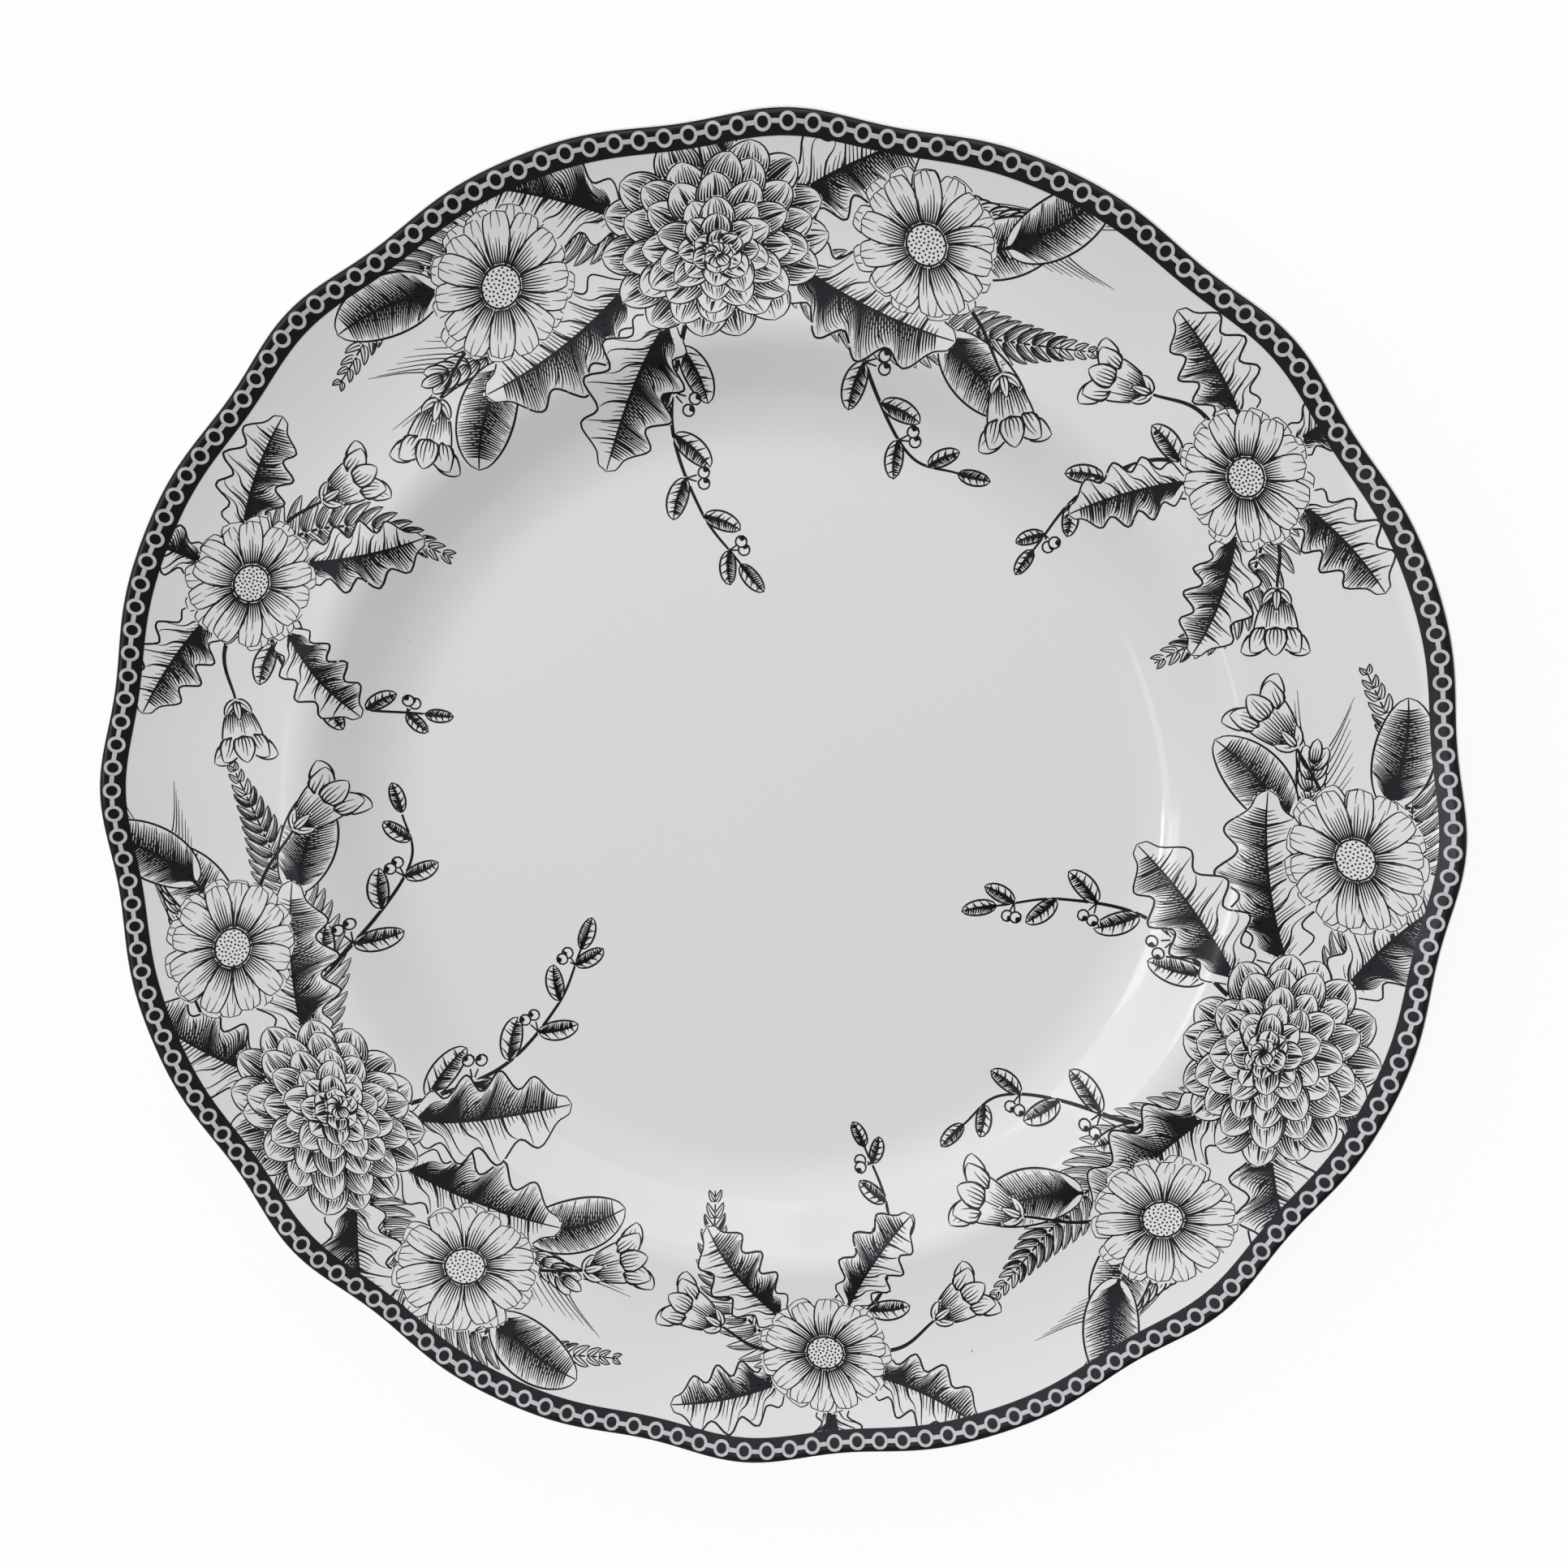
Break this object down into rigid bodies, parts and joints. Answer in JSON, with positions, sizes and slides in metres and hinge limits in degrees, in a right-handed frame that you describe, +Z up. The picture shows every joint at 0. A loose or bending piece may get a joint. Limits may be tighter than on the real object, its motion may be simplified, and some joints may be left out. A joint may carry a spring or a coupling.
{
  "type": "dinner plate",
  "caption": "China dinner plate with a waved rim, a flat well and a foot ring, with a black chain border printed along the lip.",
  "frame": {"origin": "centre of the foot ring, on the surface that the plate stands on", "axes": "+Z up along the plate's axis; +X through the tip of a narrow lobe of the rim"},
  "size_m": [0.2696, 0.2696, 0.0242],
  "materials": {
    "bisque": "unglazed, matt, fine-grained",
    "glaze": "clear glaze over a cream-white body, glossy",
    "ink": "black print fired over the glaze, soft gloss",
    "pale_print": "pale grey print fired over the glaze, soft gloss"
  },
  "bodies": {
    "root": {"porcelain_body": "bisque", "glaze_coat": "glaze", "recess_glaze": "glaze", "border_band": "ink", "border_chain": "pale_print"}
  },
  "joints": []
}
